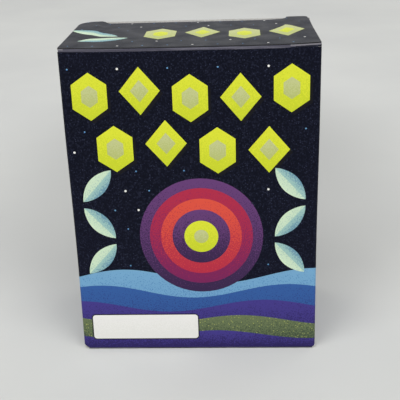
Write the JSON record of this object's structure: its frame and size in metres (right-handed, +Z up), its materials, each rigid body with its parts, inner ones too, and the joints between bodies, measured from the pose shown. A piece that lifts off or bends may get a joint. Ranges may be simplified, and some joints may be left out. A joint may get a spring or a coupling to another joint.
{
  "type": "boxed tabletop bowling game",
  "caption": "Small printed tuck top carton that holds a tabletop bowling set: lane sections, a pin deck with lights and sound, pins, a ball and a booklet.",
  "frame": {"origin": "middle of the underside of the carton, where it stands", "axes": "+Z up, the front panel faces -Y, +X to the right as seen from the front"},
  "size_m": [0.077, 0.0456, 0.1016],
  "materials": {
    "printed_board": "glossy print outside, bare white inside",
    "plain_board": "matt white board",
    "booklet_card": "coated cover",
    "booklet_paper": "matt paper",
    "wire": "bright wire",
    "screw_steel": "zinc plated",
    "tray_plastic": "vacuum formed, satin",
    "pin_plastic": "glossy white",
    "ball_plastic": "glossy red",
    "lane_plastic": "satin, wood coloured",
    "house_plastic": "satin black",
    "paddle_plastic": "satin red",
    "lens_plastic": "frosted, translucent",
    "led_resin": "diffused resin",
    "circuit_laminate": "green solder mask",
    "chip_resin": "black resin",
    "speaker_metal": "dark",
    "switch_plastic": "black",
    "cell_steel": "bright",
    "contact_metal": "nickel plated"
  },
  "bodies": {
    "carton": {"carton_sleeve": "printed_board", "bottom_outer_flap": "printed_board", "bottom_inner_flap": "printed_board", "bottom_dust_flap_left": "printed_board", "bottom_dust_flap_right": "printed_board", "booklet_cover": "booklet_card", "booklet_pages": "booklet_paper", "booklet_staple_lower": "wire", "booklet_staple_upper": "wire", "card_insert": "plain_board", "pin_tray": "tray_plastic", "bowling_ball": "ball_plastic", "bowling_pin_01": "pin_plastic", "bowling_pin_02": "pin_plastic", "bowling_pin_03": "pin_plastic", "bowling_pin_04": "pin_plastic", "bowling_pin_05": "pin_plastic", "bowling_pin_06": "pin_plastic", "bowling_pin_07": "pin_plastic", "bowling_pin_08": "pin_plastic", "bowling_pin_09": "pin_plastic", "bowling_pin_10": "pin_plastic", "lane_section_1": "lane_plastic", "lane_section_2": "lane_plastic", "lane_section_3": "lane_plastic", "lane_section_4": "lane_plastic", "deck_base": "lane_plastic", "house_cover": "house_plastic", "bay_floor": "house_plastic", "bay_screw_left": "screw_steel", "bay_screw_right": "screw_steel", "paddle_axle": "wire", "trigger_switch": "switch_plastic", "battery_contact_left": "contact_metal", "battery_contact_right": "contact_metal", "battery_door": "house_plastic", "door_screw": "screw_steel", "circuit_board": "circuit_laminate", "sound_chip": "chip_resin", "brow_lens": "lens_plastic", "speaker": "speaker_metal", "power_switch": "switch_plastic", "cover_screw_1": "screw_steel", "cover_screw_2": "screw_steel", "cover_screw_3": "screw_steel", "cover_screw_4": "screw_steel", "battery_cell_1": "cell_steel", "battery_cell_2": "cell_steel", "battery_cell_3": "cell_steel", "led_left": "led_resin", "led_middle": "led_resin", "led_right": "led_resin"},
    "lid": {"top_lid": "printed_board"},
    "tuck_flap": {"top_tuck_flap": "printed_board"},
    "dust_flap_left": {"top_dust_flap_left": "printed_board"},
    "dust_flap_right": {"top_dust_flap_right": "printed_board"},
    "paddle": {"trigger_paddle": "paddle_plastic"},
    "knob": {"switch_knob": "switch_plastic"}
  },
  "joints": [
    {"name": "lid_hinge", "type": "hinge", "parent": "carton", "child": "lid", "pos_m": [0, -0.0228, 0.1016], "axis": [1, 0, 0], "range_deg": [0, 264]},
    {"name": "tuck_fold", "type": "hinge", "parent": "lid", "child": "tuck_flap", "pos_m": [0, 0.02186, 0.10135], "axis": [1, 0, 0], "range_deg": [0, 105.6]},
    {"name": "dust_fold_left", "type": "hinge", "parent": "carton", "child": "dust_flap_left", "pos_m": [-0.0385, 0, 0.101], "axis": [0, -1, 0], "range_deg": [0, 88]},
    {"name": "dust_fold_right", "type": "hinge", "parent": "carton", "child": "dust_flap_right", "pos_m": [0.0385, 0, 0.101], "axis": [0, 1, 0], "range_deg": [0, 88]},
    {"name": "paddle_swing", "type": "hinge", "parent": "carton", "child": "paddle", "pos_m": [0, 0.00065, 0.0457], "axis": [1, 0, 0], "range_deg": [0, 40]},
    {"name": "power_slide", "type": "slide", "parent": "carton", "child": "knob", "axis": [0, 0, 1], "range_m": [0, 0.0024]}
  ],
  "couplings": [
    {"joint": "tuck_fold", "follows": "lid_hinge", "ratio": 0.4},
    {"joint": "dust_fold_left", "follows": "lid_hinge", "ratio": 0.33333},
    {"joint": "dust_fold_right", "follows": "lid_hinge", "ratio": 0.33333}
  ]
}
